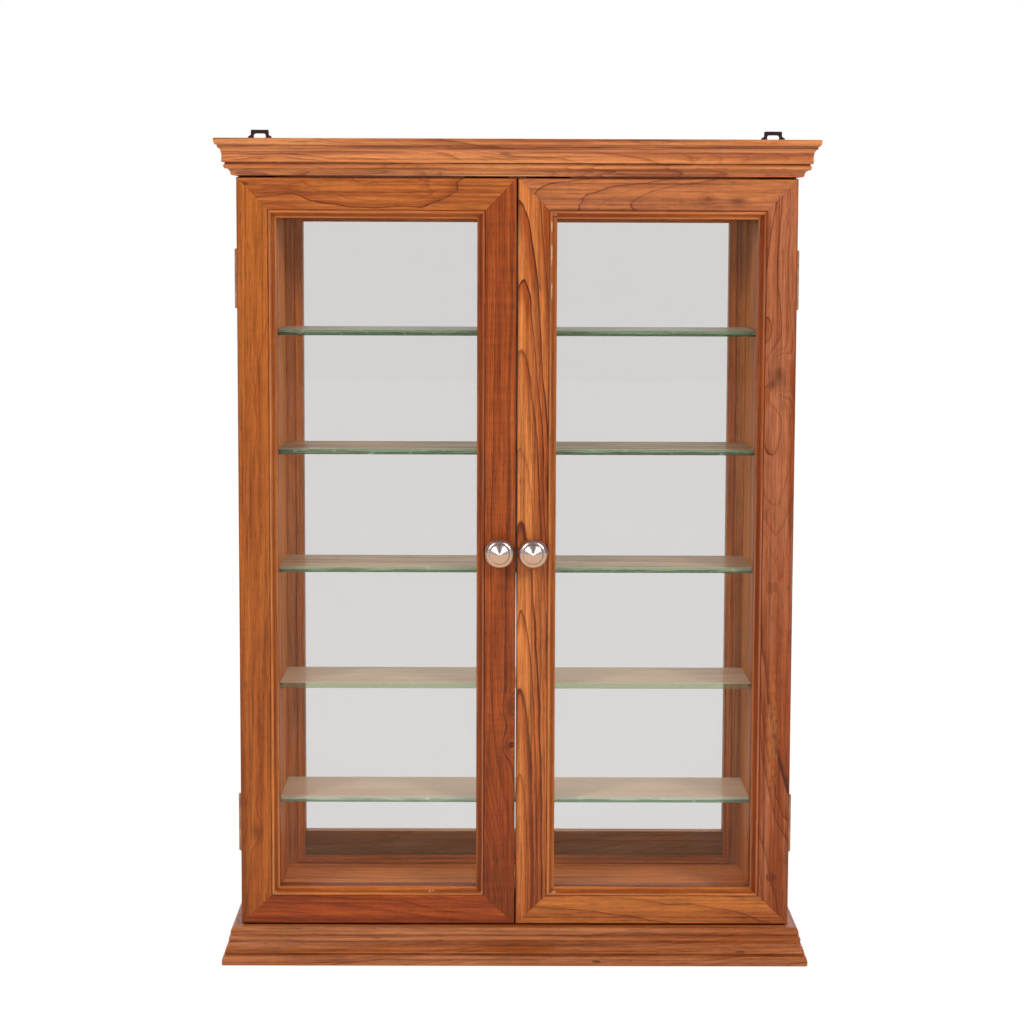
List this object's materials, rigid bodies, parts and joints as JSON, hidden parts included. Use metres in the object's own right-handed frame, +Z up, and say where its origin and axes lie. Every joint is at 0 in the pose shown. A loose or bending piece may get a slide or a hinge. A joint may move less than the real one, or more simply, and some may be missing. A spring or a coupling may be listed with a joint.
{
  "type": "glazed display cabinet",
  "caption": "Upright glazed display cabinet with a pair of hinged framed doors, glass shelves, a glazed back, a moulded cornice and plinth, turned knobs and wall hangers.",
  "frame": {"origin": "on the underside of the plinth, midway across its width and its depth", "axes": "+Z up, +X to the right as seen from the front, +Y from the doors towards the back"},
  "size_m": [0.5446, 0.1711, 0.7708],
  "materials": {
    "lacquered_teak": "satin lacquer",
    "bead_teak": "satin lacquer",
    "dark_teak": "thin lacquer",
    "pane_glass": "clear polished",
    "shelf_glass": "clear, polished edges",
    "satin_steel": "turned, satin",
    "aged_brass": "dull",
    "black_iron": "dark, dull",
    "catch_plastic": "matt brown"
  },
  "bodies": {
    "cabinet": {"left_side_panel": "lacquered_teak", "right_side_panel": "lacquered_teak", "base_board": "dark_teak", "top_board": "dark_teak", "floor_board": "lacquered_teak", "back_stile_left": "lacquered_teak", "back_stile_right": "lacquered_teak", "back_rail_top": "lacquered_teak", "back_rail_bottom": "lacquered_teak", "back_glass": "pane_glass", "back_glazing_beads": "bead_teak", "cornice_front": "lacquered_teak", "cornice_left": "lacquered_teak", "cornice_right": "lacquered_teak", "plinth_front": "lacquered_teak", "plinth_left": "lacquered_teak", "plinth_right": "lacquered_teak", "shelf_1": "shelf_glass", "shelf_2": "shelf_glass", "shelf_3": "shelf_glass", "shelf_4": "shelf_glass", "shelf_5": "shelf_glass", "hanger_left": "black_iron", "hanger_right": "black_iron", "hanger_screws": "black_iron", "hinge_leaf_left_upper": "aged_brass", "hinge_leaf_left_lower": "aged_brass", "hinge_leaf_right_upper": "aged_brass", "hinge_leaf_right_lower": "aged_brass", "hinge_pins_left": "aged_brass", "hinge_pins_right": "aged_brass", "cabinet_hinge_screws": "aged_brass", "magnetic_catches": "catch_plastic", "catch_magnets": "black_iron", "catch_screws": "satin_steel"},
    "left_door": {"left_hinge_stile": "lacquered_teak", "left_meeting_stile": "lacquered_teak", "left_top_rail": "lacquered_teak", "left_bottom_rail": "lacquered_teak", "left_door_glass": "pane_glass", "left_glazing_beads": "bead_teak", "left_knob": "satin_steel", "left_knob_screw": "satin_steel", "left_door_leaf_upper": "aged_brass", "left_door_leaf_lower": "aged_brass", "left_door_screws": "aged_brass", "left_strike_plate": "satin_steel"},
    "right_door": {"right_hinge_stile": "lacquered_teak", "right_meeting_stile": "lacquered_teak", "right_top_rail": "lacquered_teak", "right_bottom_rail": "lacquered_teak", "right_door_glass": "pane_glass", "right_glazing_beads": "bead_teak", "right_knob": "satin_steel", "right_knob_screw": "satin_steel", "right_door_leaf_upper": "aged_brass", "right_door_leaf_lower": "aged_brass", "right_door_screws": "aged_brass", "right_strike_plate": "satin_steel"}
  },
  "joints": [
    {"name": "left_door_swing", "type": "hinge", "parent": "cabinet", "child": "left_door", "pos_m": [-0.2559, -0.04085, 0.3798], "axis": [0, 0, -1], "range_deg": [0, 170]},
    {"name": "right_door_swing", "type": "hinge", "parent": "cabinet", "child": "right_door", "pos_m": [0.2559, -0.04085, 0.3798], "axis": [0, 0, 1], "range_deg": [0, 170]}
  ]
}
